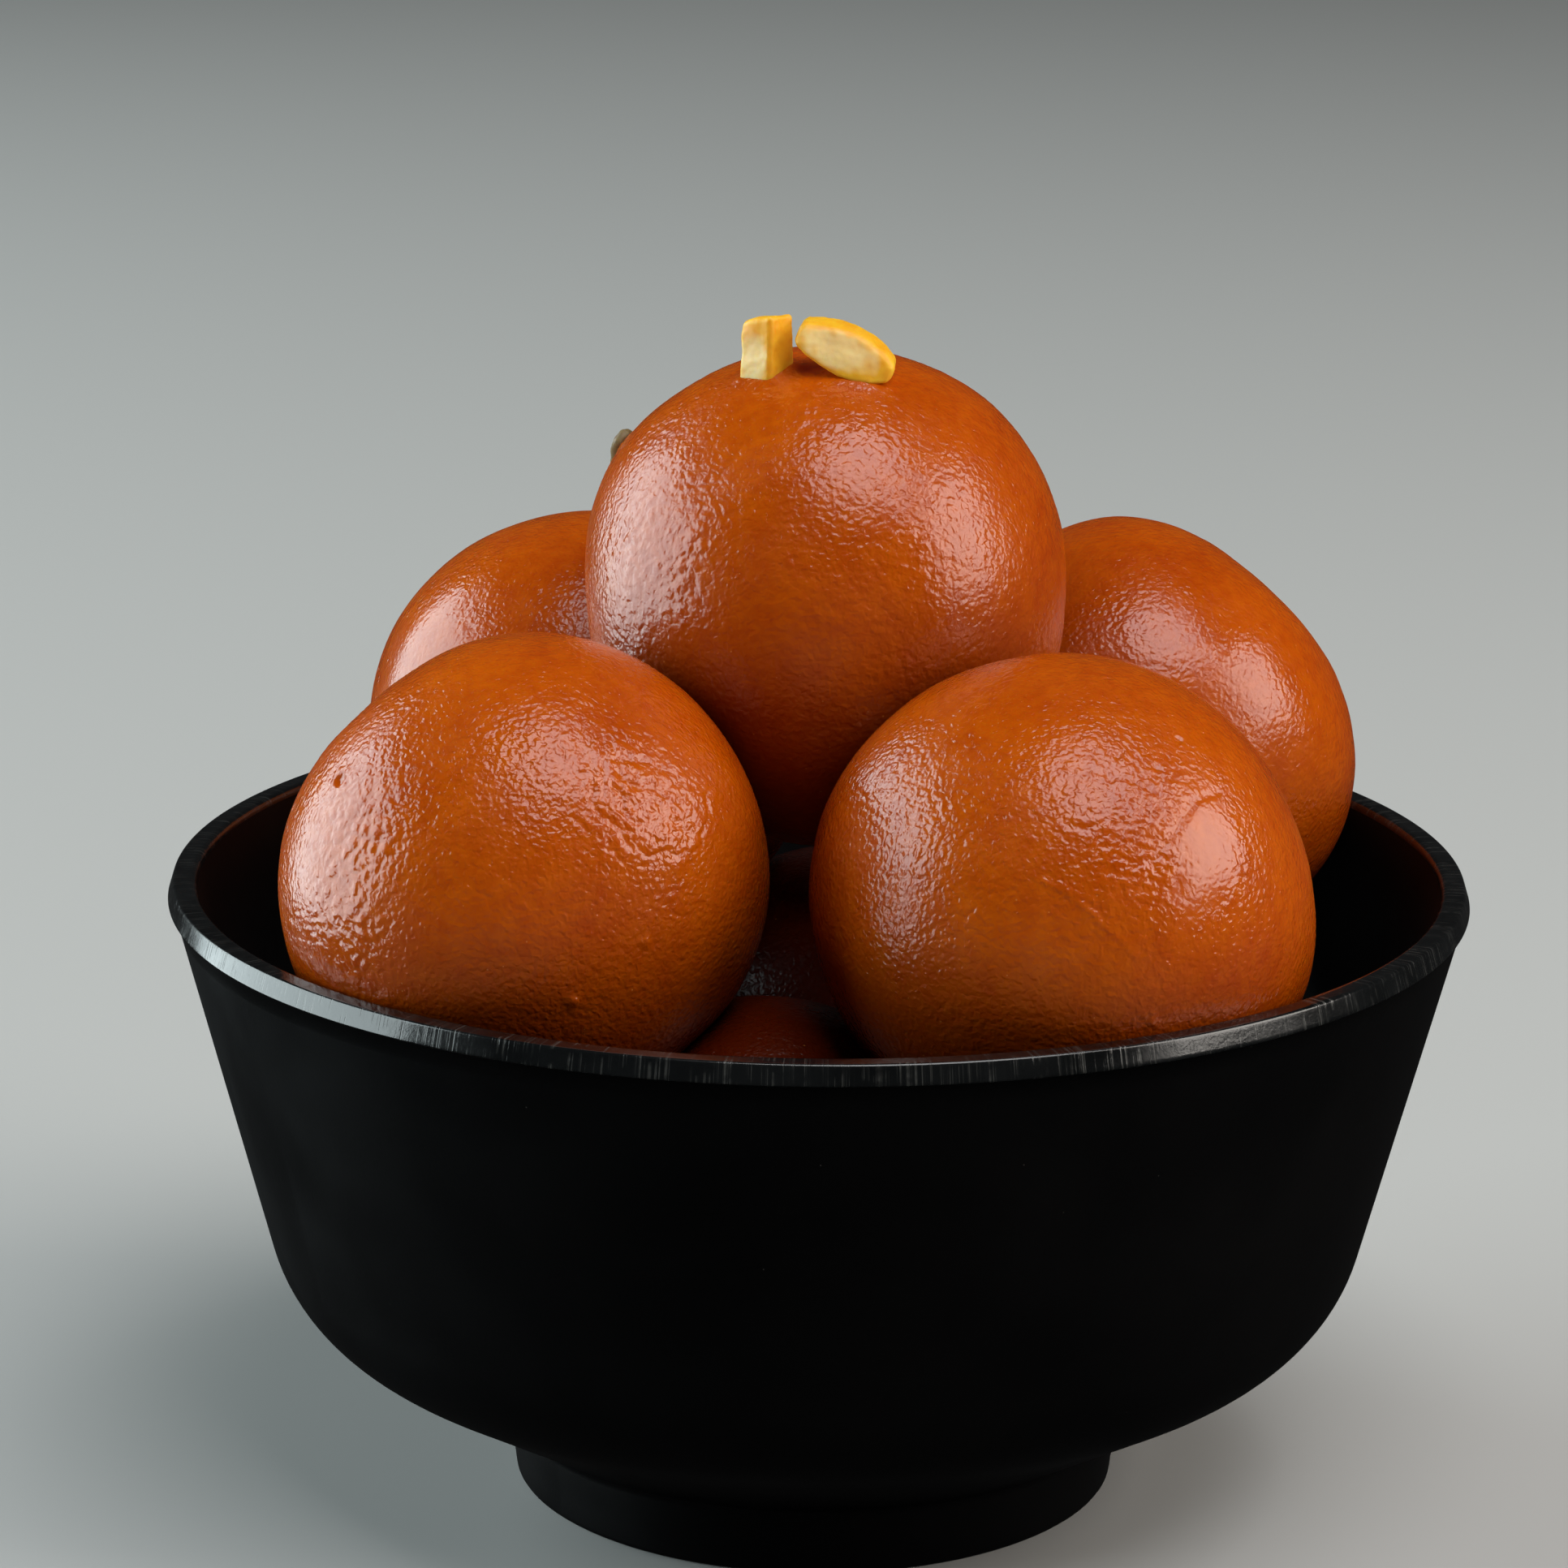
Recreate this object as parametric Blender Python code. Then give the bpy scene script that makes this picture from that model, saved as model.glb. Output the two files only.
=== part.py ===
"""Nine gulab jamuns piled in a footed black bowl, with three slivers of nut on the top one.

Metres, +Z up. The origin is the centre of the bowl's foot, on the surface it stands on, and +Y points
away from the front of the pile. The jamuns' heights are measured from the rim.
"""

import math
from collections import namedtuple

import bmesh
import bpy
from mathutils import Euler, Matrix, Vector

# Bowl
RIM_RADIUS = 0.0575
BOWL_HEIGHT = 0.0562
LIP_WIDTH = 0.0026
LIP_HEIGHT = 0.0016
LIP_LEAN = 0.0004  # how far the lip's outer side leans in, from its foot to its top
LIP_STEP = 0.00045  # how far the lip stands out from the wall below it
LIP_OUTER_ROUND = 0.0003
LIP_INNER_ROUND = 0.0007
WALL = 0.0026
WALL_TAPER = 14.5  # degrees from the vertical
WALL_DEPTH = 0.0330  # from the rim down to where the wall turns in
KNUCKLE_RADIUS = 0.0140
UNDERSIDE_TURN = 60.0  # degrees from the vertical, along the cone above the foot
FLOOR_DEPTH = 0.0493  # from the rim
FLOOR_ROUND = 0.0120
FOOT_TOP_RADIUS = 0.0277
FOOT_RADIUS = 0.0271
FOOT_RING = 0.0030
FOOT_EDGE = 0.0005
FOOT_FILLET = 0.0012
RECESS = 0.0042
BOWL_SEGMENTS = 60
KNUCKLE_STEPS = 6
SMALL_ROUND_STEPS = 3

# Jamuns
GAP = 0.0003
LEAN_GAP = 0.0001  # more room at the wall, because it leans
PATCHES = 7  # facets along each side of the cube that a ball is rounded from

# A lump raises the skin round one direction, or flattens it where rise is negative.
Lump = namedtuple("Lump", "azimuth elevation rise spread")
# A jamun lies at an azimuth and a reach from the bowl's axis, at a height from the rim.
Jamun = namedtuple("Jamun", "azimuth reach height radius tallness lumps")

JAMUNS = {
    "jamun_top": Jamun(
        -54, 0.0009, 0.0248, 0.0208, 1.045, (Lump(9, 34, 0.0007, 24), Lump(171, 34, 0.0011, 26))
    ),
    "jamun_front_left": Jamun(
        -135, 0.0354, 0.0060, 0.0205, 1.0, (Lump(165, 43, -0.0015, 26), Lump(-20, 25, 0.0004, 25))
    ),
    "jamun_front_right": Jamun(
        -55.5, 0.0353, 0.0053, 0.0205, 1.0, (Lump(-5, -20, 0.0010, 24), Lump(175, 25, 0.0007, 30))
    ),
    "jamun_back_left": Jamun(128, 0.0349, 0.0052, 0.0204, 1.0, (Lump(-20, -30, 0.0008, 30),)),
    "jamun_back_right": Jamun(
        35,
        0.0355,
        0.0063,
        0.0200,
        1.0,
        (Lump(20, 42, -0.0018, 30), Lump(110, 70, 0.0008, 28), Lump(0, -25, 0.0009, 26)),
    ),
    "jamun_low_front": Jamun(-100.5, 0.0270, -0.0245, 0.0197, 1.0, (Lump(30, 10, 0.0004, 30),)),
    "jamun_low_back": Jamun(83, 0.0254, -0.0256, 0.0197, 1.0, (Lump(-120, 30, 0.0004, 30),)),
    "jamun_low_left": Jamun(174, 0.0284, -0.0242, 0.0194, 1.0, (Lump(80, -20, 0.0004, 30),)),
    "jamun_low_right": Jamun(-9.5, 0.0282, -0.0240, 0.0197, 1.0, (Lump(-60, 20, 0.0004, 30),)),
}

# Nut slivers, on the crown of jamun_top. Places are from that ball's centre.
SLIVER_EDGE = 0.0003
SHARP_ANGLE = 40.0
SEAT = 0.00035  # clear of the ball's skin
CROWN_PASSES = 4
OUTLINE_STEPS = 6
OUTLINE_START = 0.10  # an almond's outline is a stretch of half a wave
OUTLINE_SPAN = 0.82
OUTLINE_SKEW = 1.1
OUTLINE_BLUNTNESS = 0.7
STUB_WIDTH = 0.0035
STUB_DEPTH = 0.0036
STUB_TAPER = 0.92
STUB_TURN = 50.0
STUB_PLACE = (-0.0055, -0.0046)
STUB_TOP = 0.0258
STUB_TOP_SLOPE = 0.17
STUB_TOP_FALL = 0.18  # the top falls this much towards the back
SLICE_LENGTH = 0.0088
SLICE_WIDTH = 0.0040
SLICE_THICKNESS = 0.0023
SLICE_RISE = 0.0011  # the far face is this much higher than the near one
SLICE_PLACE = (0.0012, -0.0063)
SLICE_TURN = (-12.0, 23.0, -5.0)
CHIP_LENGTH = 0.0080
CHIP_WIDTH = 0.0034
CHIP_THICKNESS = 0.0011
CHIP_AZIMUTH = 158.0
CHIP_ELEVATION = 30.0
CHIP_TWIST = 35.0


def clear_scene():
    for obj in list(bpy.data.objects):
        bpy.data.objects.remove(obj, do_unlink=True)


def finish(name, colour, roughness, metallic=0.0):
    material = bpy.data.materials.new(name)
    material.use_nodes = True
    shader = material.node_tree.nodes["Principled BSDF"]
    shader.inputs["Base Color"].default_value = (*colour, 1.0)
    shader.inputs["Roughness"].default_value = roughness
    shader.inputs["Metallic"].default_value = metallic
    return material


def add_object(name, mesh, material):
    mesh.shade_smooth()
    mesh.materials.append(material)
    obj = bpy.data.objects.new(name, mesh)
    bpy.context.scene.collection.objects.link(obj)
    return obj


def mesh_of(name, bm):
    mesh = bpy.data.meshes.new(name)
    bm.to_mesh(mesh)
    bm.free()
    return mesh


def direction(azimuth, elevation):
    azimuth = math.radians(azimuth)
    elevation = math.radians(elevation)
    flat = math.cos(elevation)
    return Vector((flat * math.cos(azimuth), flat * math.sin(azimuth), math.sin(elevation)))


# ---------------------------------------------------------------- bowl


def turn(start, radius, turn_from, turn_to, steps=SMALL_ROUND_STEPS):
    """Points after start on a line that heads down and in, turning between two angles from the vertical."""
    first = math.radians(turn_from)
    points = []
    for step in range(1, steps + 1):
        angle = math.radians(turn_from + (turn_to - turn_from) * step / steps)
        across = radius * (math.cos(angle) - math.cos(first))
        down = radius * (math.sin(angle) - math.sin(first))
        points.append((start[0] + across, start[1] - down))
    return points


def corner(centre_x, centre_z, radius, angle_from, angle_to, steps=SMALL_ROUND_STEPS):
    points = []
    for step in range(steps + 1):
        angle = math.radians(angle_from + (angle_to - angle_from) * step / steps)
        points.append((centre_x + radius * math.cos(angle), centre_z + radius * math.sin(angle)))
    return points


def wall_start():
    """Where the outer wall begins, under the lip."""
    return (RIM_RADIUS - LIP_STEP, BOWL_HEIGHT - LIP_HEIGHT - LIP_STEP / 2)


def wall_end():
    """Where the outer wall starts to turn in towards the foot."""
    x, z = wall_start()
    end_z = BOWL_HEIGHT - WALL_DEPTH
    return (x - (z - end_z) * math.tan(math.radians(WALL_TAPER)), end_z)


def along_cone(start, end_radius):
    """The point of the cone through start that has this radius."""
    return (end_radius, start[1] - (start[0] - end_radius) / math.tan(math.radians(UNDERSIDE_TURN)))


def inner_outline():
    """The inside of the bowl, from the lip down to the centre of the floor."""
    x, z = wall_end()
    taper = math.radians(WALL_TAPER)
    start = (x - WALL * math.cos(taper), z + WALL * math.sin(taper))
    knuckle = turn(start, KNUCKLE_RADIUS - WALL, WALL_TAPER, UNDERSIDE_TURN, KNUCKLE_STEPS - 1)
    cone = math.radians(UNDERSIDE_TURN)
    round_top = BOWL_HEIGHT - FLOOR_DEPTH + FLOOR_ROUND * (1 - math.sin(cone))
    last_x, last_z = knuckle[-1]
    round_start = (last_x - (last_z - round_top) * math.tan(cone), round_top)
    floor = turn(round_start, FLOOR_ROUND, UNDERSIDE_TURN, 90.0)
    return [start] + knuckle + [round_start] + floor + [(0.0, BOWL_HEIGHT - FLOOR_DEPTH)]


def outer_outline():
    """The outside of the bowl, from under the lip down to the centre of the hollow in the foot."""
    knuckle = turn(wall_end(), KNUCKLE_RADIUS, WALL_TAPER, UNDERSIDE_TURN, KNUCKLE_STEPS)
    fillet_width = FOOT_FILLET * (1 - math.cos(math.radians(UNDERSIDE_TURN)))
    cone_end = along_cone(knuckle[-1], FOOT_TOP_RADIUS + fillet_width)
    fillet = turn(cone_end, -FOOT_FILLET, UNDERSIDE_TURN, 0.0)
    ring_inside = FOOT_RADIUS - FOOT_RING
    foot = [
        (FOOT_RADIUS, FOOT_EDGE),
        (FOOT_RADIUS - FOOT_EDGE, 0.0),
        (ring_inside + FOOT_EDGE, 0.0),
        (ring_inside, FOOT_EDGE),
        (ring_inside, RECESS),
        (0.0, RECESS),
    ]
    return [wall_start(), wall_end()] + knuckle + [cone_end] + fillet + foot


def lip_outline():
    """Over the lip, from its inner side to its outer side."""
    inner_x = RIM_RADIUS - LIP_WIDTH
    outer_x = RIM_RADIUS - LIP_LEAN
    side = math.degrees(math.atan2(LIP_LEAN, LIP_HEIGHT))
    inner = corner(inner_x + LIP_INNER_ROUND, BOWL_HEIGHT - LIP_INNER_ROUND, LIP_INNER_ROUND, 180, 90)
    outer = corner(outer_x - LIP_OUTER_ROUND, BOWL_HEIGHT - LIP_OUTER_ROUND, LIP_OUTER_ROUND, 90, side)
    return inner + outer + [(RIM_RADIUS, BOWL_HEIGHT - LIP_HEIGHT)]


def build_bowl(material):
    outline = inner_outline()[::-1] + lip_outline() + outer_outline()
    mesh = bpy.data.meshes.new("bowl")
    edges = [(i, i + 1) for i in range(len(outline) - 1)]
    mesh.from_pydata([(x, 0.0, z) for x, z in outline], edges, [])
    bowl = add_object("bowl", mesh, material)
    lathe = bowl.modifiers.new("Lathe", "SCREW")
    lathe.steps = lathe.render_steps = BOWL_SEGMENTS
    lathe.use_merge_vertices = True
    lathe.merge_threshold = 0.0001
    lathe.use_smooth_shade = True
    return bowl


# ---------------------------------------------------------------- jamuns


def centre_of(jamun):
    centre = direction(jamun.azimuth, 0) * jamun.reach
    centre.z = BOWL_HEIGHT + jamun.height
    return centre


def skin_radius(jamun, heading):
    """Distance from the ball's centre to its skin, before its neighbours press on it."""
    radius = jamun.radius * (1 + (jamun.tallness - 1) * heading.z**2)
    for lump in jamun.lumps:
        away = math.degrees(heading.angle(direction(lump.azimuth, lump.elevation)))
        radius += lump.rise * math.exp(-((away / lump.spread) ** 2))
    return radius


def contact_planes(name):
    """For each other ball, the way to it and the most that this ball's skin may reach that way."""
    own = JAMUNS[name]
    planes = []
    for other_name, other in JAMUNS.items():
        if other_name == name:
            continue
        apart = centre_of(other) - centre_of(own)
        distance = apart.length
        share = (distance + (own.radius**2 - other.radius**2) / distance) / 2
        planes.append((apart.normalized(), share - GAP / 2))
    return planes


def inner_radius_at(z):
    """The bowl's inner radius at this height. Above the rim there is nothing to press on."""
    outline = [(RIM_RADIUS - LIP_WIDTH, BOWL_HEIGHT)] + inner_outline()
    for (upper_x, upper_z), (lower_x, lower_z) in zip(outline[:-1], outline[1:]):
        if lower_z <= z <= upper_z and upper_z > lower_z:
            return lower_x + (upper_x - lower_x) * (z - lower_z) / (upper_z - lower_z)
    return math.inf


def pressed(point, centre, planes):
    """The skin point, given from the ball's centre, moved off its neighbours, the wall and the floor."""
    for heading, limit in planes:
        reach = point.dot(heading)
        if reach > limit:
            point = point * (limit / reach)
    place = centre + point
    floor = BOWL_HEIGHT - FLOOR_DEPTH + GAP
    place.z = max(place.z, floor)
    # The wall's facets cut across its circle.
    limit = (inner_radius_at(place.z) - GAP) * math.cos(math.pi / BOWL_SEGMENTS) - LEAN_GAP
    reach = math.hypot(place.x, place.y)
    if reach > limit:
        place.x *= limit / reach
        place.y *= limit / reach
    return place - centre


def build_jamun(name, material):
    jamun = JAMUNS[name]
    centre = centre_of(jamun)
    planes = contact_planes(name)
    bm = bmesh.new()
    bmesh.ops.create_cube(bm, size=2.0)
    bmesh.ops.subdivide_edges(bm, edges=bm.edges[:], cuts=PATCHES - 1, use_grid_fill=True)
    for vert in bm.verts:
        heading = Vector([math.tan(value * math.pi / 4) for value in vert.co]).normalized()
        vert.co = pressed(heading * skin_radius(jamun, heading), centre, planes)
    ball = add_object(name, mesh_of(name, bm), material)
    ball.location = centre
    return ball


# ---------------------------------------------------------------- nut slivers


def soften_edges(obj):
    bevel = obj.modifiers.new("Soft edges", "BEVEL")
    bevel.width = SLIVER_EDGE
    bevel.segments = 1
    bevel.limit_method = "ANGLE"
    bevel.angle_limit = math.radians(SHARP_ANGLE)


def crown_height(x, y):
    """Height of the top ball's skin over this place, both from that ball's centre."""
    top = JAMUNS["jamun_top"]
    height = top.radius
    for _ in range(CROWN_PASSES):
        heading = Vector((x, y, height)).normalized()
        height = math.sqrt(skin_radius(top, heading) ** 2 - x * x - y * y)
    return height


def resting_height(mesh, spin, place):
    """Height at which a sliver turned by spin comes to rest on the top ball, over this place."""
    heights = []
    for vert in mesh.vertices:
        corner = spin @ vert.co
        heights.append(crown_height(place[0] + corner.x, place[1] + corner.y) + SEAT - corner.z)
    return max(heights)


def build_stub(name, material):
    """A short cut stick of almond that stands on end, with its foot cut to the ball's slope."""
    spin = Matrix.Rotation(math.radians(STUB_TURN), 2)
    bm = bmesh.new()
    bmesh.ops.create_cube(bm, size=1.0)
    for vert in bm.verts:
        at_top = vert.co.z > 0
        narrow = STUB_TAPER if at_top else 1.0
        across = spin @ Vector((vert.co.x * STUB_WIDTH * narrow, vert.co.y * STUB_DEPTH * narrow))
        x = STUB_PLACE[0] + across.x
        y = STUB_PLACE[1] + across.y
        top = STUB_TOP + STUB_TOP_SLOPE * across.x - STUB_TOP_FALL * across.y
        vert.co = Vector((x, y, top if at_top else crown_height(x, y) + SEAT))
    stub = add_object(name, mesh_of(name, bm), material)
    stub.location = centre_of(JAMUNS["jamun_top"])
    soften_edges(stub)
    return stub


def almond_outline(length, width):
    """A cut almond's outline: narrow at one end, widest past the middle, and blunt at both ends."""
    upper = []
    for step in range(OUTLINE_STEPS + 1):
        along = step / OUTLINE_STEPS
        wave = math.pi * (OUTLINE_START + OUTLINE_SPAN * along**OUTLINE_SKEW)
        upper.append((length * (along - 0.5), width / 2 * math.sin(wave) ** OUTLINE_BLUNTNESS))
    lower = [(x, -y) for x, y in reversed(upper)]
    return upper + lower


def almond_slice(name, length, width, thickness, rise):
    """A slice with an almond's outline, standing on its long edge. Its far face stands rise higher."""
    bm = bmesh.new()
    face = bm.faces.new([bm.verts.new((x, -thickness / 2, z)) for x, z in almond_outline(length, width)])
    grown = bmesh.ops.extrude_face_region(bm, geom=[face])
    moved = [item for item in grown["geom"] if isinstance(item, bmesh.types.BMVert)]
    bmesh.ops.translate(bm, verts=moved, vec=(0.0, thickness, rise))
    bmesh.ops.recalc_face_normals(bm, faces=bm.faces[:])
    return mesh_of(name, bm)


def build_slice(name, material):
    """Half an almond on its long edge, its narrow end up against the stub."""
    mesh = almond_slice(name, SLICE_LENGTH, SLICE_WIDTH, SLICE_THICKNESS, SLICE_RISE)
    spin = Euler([math.radians(angle) for angle in SLICE_TURN])
    height = resting_height(mesh, spin.to_matrix(), SLICE_PLACE)
    sliver = add_object(name, mesh, material)
    sliver.location = centre_of(JAMUNS["jamun_top"]) + Vector((*SLICE_PLACE, height))
    sliver.rotation_euler = spin
    soften_edges(sliver)
    return sliver


def build_chip(name, material):
    """A thin green slice that lies flat on the far shoulder of the top ball, turned askew."""
    chip = add_object(name, almond_slice(name, CHIP_LENGTH, CHIP_WIDTH, CHIP_THICKNESS, 0.0), material)
    heading = direction(CHIP_AZIMUTH, CHIP_ELEVATION)
    height = skin_radius(JAMUNS["jamun_top"], heading) + CHIP_THICKNESS / 2 + SEAT
    chip.location = centre_of(JAMUNS["jamun_top"]) + heading * height
    askew = Euler((0, math.radians(CHIP_TWIST), 0)).to_quaternion()
    chip.rotation_euler = (heading.to_track_quat("Y", "Z") @ askew).to_euler()
    soften_edges(chip)
    return chip


def main():
    clear_scene()
    build_bowl(finish("bowl_black", (0.006, 0.006, 0.007), 0.45))
    skin = finish("jamun_skin", (0.42, 0.085, 0.008), 0.35)
    for name in JAMUNS:
        build_jamun(name, skin)
    almond = finish("saffron_almond", (0.86, 0.52, 0.06), 0.5)
    build_stub("almond_stub", almond)
    build_slice("almond_slice", almond)
    build_chip("pistachio_chip", finish("pistachio", (0.42, 0.40, 0.18), 0.5))


main()
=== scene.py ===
"""Looks of a bowl of gulab jamuns.

Wet brown dough balls are piled in a black bowl, with slivers of nut on the top one. Metres, +Z up, in the
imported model's own frame: the bowl stands on the floor at the origin, and +Y points away from the front. Each
visible node is replaced with a finer piece that keeps the node's shape and place.
"""

import math
from collections import namedtuple

import bmesh
import bpy
import numpy as np
from mathutils import Matrix, Vector, noise
from mathutils.bvhtree import BVHTree


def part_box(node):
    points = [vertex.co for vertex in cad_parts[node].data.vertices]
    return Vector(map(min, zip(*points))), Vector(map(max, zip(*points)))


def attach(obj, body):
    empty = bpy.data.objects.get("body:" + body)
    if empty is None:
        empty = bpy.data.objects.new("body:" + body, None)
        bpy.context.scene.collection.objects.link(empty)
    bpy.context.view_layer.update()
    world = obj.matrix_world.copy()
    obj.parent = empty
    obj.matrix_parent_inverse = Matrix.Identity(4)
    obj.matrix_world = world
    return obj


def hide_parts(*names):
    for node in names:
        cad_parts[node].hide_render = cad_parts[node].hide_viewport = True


MM = 0.001

# ---------------------------------------------------------------- sizes

# Bowl section. The rim's radius and the height come from the node.
LIP_WIDTH = 2.6 * MM
LIP_HEIGHT = 1.6 * MM
LIP_LEAN = 0.4 * MM
LIP_STEP = 0.45 * MM
LIP_OUTER_ROUND = 0.3 * MM
LIP_INNER_ROUND = 0.7 * MM
LIP_UNDER_ROUND = 0.15 * MM
LIP_EDGE = 0.25 * MM  # longest edge across the lip
WALL = 2.6 * MM
WALL_TAPER = 14.5  # degrees from the vertical
WALL_DEPTH = 33.0 * MM
KNUCKLE_RADIUS = 14.0 * MM
UNDERSIDE_TURN = 60.0  # degrees from the vertical
FLOOR_DEPTH = 49.3 * MM
FLOOR_ROUND = 12.0 * MM
FOOT_TOP_RADIUS = 27.7 * MM
FOOT_RADIUS = 27.1 * MM
FOOT_RING = 3.0 * MM
FOOT_EDGE = 0.5 * MM
FOOT_FILLET = 1.2 * MM
RECESS = 4.2 * MM
RECESS_ROUND = 0.8 * MM
BOWL_SEGMENTS = 360
STRAIGHT_STEP = 2.0 * MM  # longest edge along a straight stretch of the section

# Balls
SOFTEN_ANGLE = 6.5  # degrees over which the node's facets are smoothed
TOUCH = 0.12 * MM  # the balls swell by this to meet their neighbours

# Relief of the skin. Sizes are the widths of its bumps.
WRINKLE = 0.66 * MM
LEVEL_STRETCH = 1.3  # wrinkles are this much wider than they are tall
LUMP = 1.25 * MM  # in a coarse patch
LUMP_HEIGHT = 3.0  # how many times a wrinkle's height
WARP = 0.35 * MM  # how far the wrinkles are pushed out of line
WARP_SIZE = 1.3 * MM
THICK_AND_THIN = 7 * MM  # patches where wrinkles are taller or lower
SWELL = 13 * MM
SMALL_SWELL = 5 * MM
TAUT_FLATTENS = 0.85  # how much of the wrinkles' height a taut patch loses
COARSE_CALMS = 0.6  # how calm the fine grain is in a coarse patch, beside 1 in a taut one
PATCH_EDGE = 1.9 * MM  # how wide the bays in a patch's edge are

# Skin darkened deep in the bowl and where balls meet: painted shade, partly syrup stain
SHADE_AND_SOAK_TOP = 64 * MM  # above this height only the meeting places get painted shade and stain
SHADE_AND_SOAK_DEPTH = 20 * MM
SHADE_AND_SOAK_REACH = 5.0 * MM  # how far from a neighbour the skin is darkened
SHADE_AND_SOAK_MEETING = 0.7  # how dark the painted shade and stain are where balls meet
SHADE_AND_SOAK_LOW = 0.88  # how dark the painted shade and stain are all over the lower balls
LOW_SHINE = 0.2  # the lower balls reflect less, as the pile shades them

# Slivers
SLIVER_VOXEL = 0.11 * MM
SLIVER_SINK = 0.40 * MM
CUT_WAVE = 1.9 * MM  # width of the knife's waves on a cut face
CUT_WAVE_HEIGHT = 0.16  # millimetres
CUT_CRUMB = 0.5 * MM
CUT_CRUMB_HEIGHT = 0.03  # millimetres
NUT_GRAIN = 0.45 * MM
MENISCUS = 0.30 * MM  # how high syrup stands at the foot of a sliver
MENISCUS_REACH = 0.75 * MM
MENISCUS_END = 2 * MM  # past this there is none

# ---------------------------------------------------------------- colours

SKIN_BROWN = (0.41, 0.053, 0.0002, 1)
SKIN_AMBER = (0.55, 0.097, 0.0003, 1)
BLOTCH_BROWN = (0.40, 0.051, 0.0002, 1)
BLOTCH_AMBER = (0.56, 0.105, 0.0004, 1)
# Painted glints: colour of small pale flecks on the skin
SKIN_PAINTED_GLINT = (0.75, 0.32, 0.08, 1)
# Painted shade, partly syrup stain: the skin darkens towards these where balls meet and low in the bowl
STAINED_AND_SHADED_SKIN = (0.20, 0.017, 0.0002, 1)
SOAKED_AND_SHADED_SKIN = (0.040, 0.0026, 0.0001, 1)
GLAZE_BLACK = (0.0012, 0.0012, 0.0014, 1)
GLAZE_CLOUD = (0.0022, 0.0021, 0.0023, 1)
DUST = (0.06, 0.055, 0.05, 1)
LIP_BLACK = (0.002, 0.0024, 0.0026, 1)
LIP_RUBBED = (0.006, 0.0068, 0.0072, 1)
LIP_SCRATCH = (0.13, 0.13, 0.12, 1)
FLOOR_GREY = (0.50, 0.50, 0.49, 1)

Nut = namedtuple("Nut", "material core stained deep")
ALMOND = Nut("almond_cut_face", (1.0, 0.72, 0.31, 1), (0.96, 0.51, 0.018, 1), (0.87, 0.39, 0.008, 1))
PISTACHIO = Nut("pistachio_cut_face", (0.36, 0.33, 0.20, 1), (0.26, 0.21, 0.10, 1), (0.16, 0.10, 0.04, 1))
NUTS = {"saffron_almond": ALMOND, "pistachio": PISTACHIO}

# ---------------------------------------------------------------- balls and slivers

# Places on a ball are (azimuth, elevation) in degrees from its centre.
Patch = namedtuple("Patch", "kind place wide tall lean strength")
Crease = namedtuple("Crease", "route width depth")  # a groove, or a raised line where depth is negative
Pit = namedtuple("Pit", "place size depth")
# pebble is the height of the skin's wrinkles, swell how uneven the ball is.
Ball = namedtuple("Ball", "node frequency pebble swell patches creases pits")

FRONT_LEFT = Ball(
    "jamun_front_left",
    98,
    0.050 * MM,
    0.25 * MM,
    (
        Patch("folds", (-51.0, 33.0), 6.0 * MM, 6.2 * MM, 0.0, 1.0),
        Patch("coarse", (-140.0, 4.0), 7.0 * MM, 11.0 * MM, 0.0, 1.0),
    ),
    (
        Crease(((-58.2, 41.7), (-49.0, 39.5), (-42.3, 35.4)), 0.36 * MM, 0.16 * MM),
        Crease(((-59.2, 38.7), (-55.7, 34.1), (-47.7, 32.1), (-40.4, 33.3)), 0.32 * MM, 0.14 * MM),
        Crease(((-52.9, 25.0), (-46.6, 24.8), (-42.7, 20.1)), 0.32 * MM, 0.12 * MM),
        Crease(((-41.7, 55.2), (-40.1, 51.2), (-30.0, 47.7)), 0.30 * MM, 0.09 * MM),
    ),
    (
        Pit((-146.8, 32.0), 0.60 * MM, 0.30 * MM),
        Pit((-48.0, 31.0), 0.3 * MM, 0.14 * MM),
        Pit((-75.7, -13.7), 0.50 * MM, -0.24 * MM),
        Pit((-58.4, -1.1), 0.38 * MM, -0.18 * MM),
    ),
)
FRONT_RIGHT = Ball(
    "jamun_front_right",
    98,
    0.050 * MM,
    0.25 * MM,
    (
        Patch("taut", (-55.5, 23.0), 3.3 * MM, 5.0 * MM, -0.35, 1.0),
        Patch("level", (-76.0, 30.0), 5.0 * MM, 6.0 * MM, 0.0, 1.0),
    ),
    (
        Crease(((-71.1, 24.2), (-62.5, 31.5), (-53.4, 37.1), (-43.5, 37.7)), 0.36 * MM, 0.14 * MM),
        Crease(((-84.5, 46.5), (-74.0, 44.5), (-63.9, 39.9)), 0.20 * MM, 0.06 * MM),
        Crease(((-98.5, 20.9), (-92.0, 18.3), (-86.5, 13.8), (-82.4, 9.7)), 0.22 * MM, -0.11 * MM),
        Crease(((-93.0, 19.8), (-86.1, 16.4)), 0.20 * MM, -0.09 * MM),
        Crease(((-81.0, 9.0), (-76.5, 4.0)), 0.22 * MM, -0.10 * MM),
    ),
    (
        Pit((-61.7, 46.8), 0.38 * MM, 0.16 * MM),
        Pit((-46.1, 52.8), 0.40 * MM, 0.16 * MM),
        Pit((-74.1, 50.6), 0.30 * MM, 0.12 * MM),
        Pit((-71.4, -12.7), 0.40 * MM, -0.18 * MM),
    ),
)
TOP = Ball(
    "jamun_top",
    92,
    0.042 * MM,
    0.28 * MM,
    (
        Patch("coarse", (-132.0, 18.0), 7.5 * MM, 9.0 * MM, 0.0, 1.0),
        Patch("coarse", (-80.0, 20.0), 22.0 * MM, 22.0 * MM, 0.0, 0.55),
    ),
    (),
    (Pit((-67.8, -2.9), 0.3 * MM, -0.12 * MM),),
)
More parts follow.
